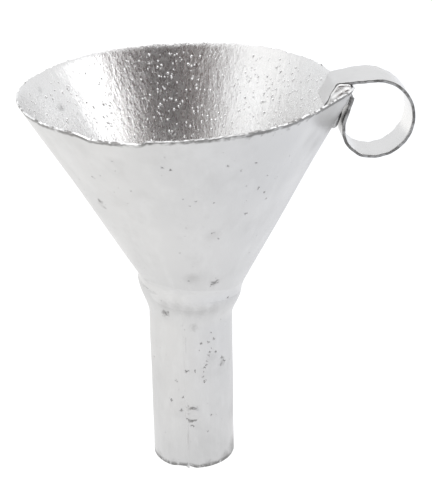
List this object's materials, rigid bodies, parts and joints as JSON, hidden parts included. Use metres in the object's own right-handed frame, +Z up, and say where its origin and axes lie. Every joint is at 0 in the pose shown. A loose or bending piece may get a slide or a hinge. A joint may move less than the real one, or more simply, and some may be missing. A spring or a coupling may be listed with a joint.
{
  "type": "canning funnel",
  "caption": "Tinned sheet-metal funnel with a wide rolled hopper cone, a straight spout soldered into a belled neck and a strip finger ring at the rim for hanging.",
  "frame": {"origin": "centre of the spout's lower end", "axes": "+Z up along the spout to the mouth, +X towards the finger ring, +Y to the back"},
  "size_m": [0.1488, 0.1189, 0.1607],
  "materials": {
    "tinned_cone": "bright tinned steel, smooth satin outside and mirror-bright inside with fine pits",
    "tinned_spout": "satin tinned steel with small pits and stains",
    "tinned_strip": "satin tinned steel strip with raw cut edges",
    "solder": "dull bright soft solder, hand wiped and lumpy"
  },
  "bodies": {
    "root": {"hopper_cone": "tinned_cone", "cone_seam_solder": "solder", "spout_tube": "tinned_spout", "spout_seam_solder": "solder", "neck_solder": "solder", "hanging_ring": "tinned_strip", "ring_root_solder": "solder", "ring_end_solder": "solder"}
  },
  "joints": []
}
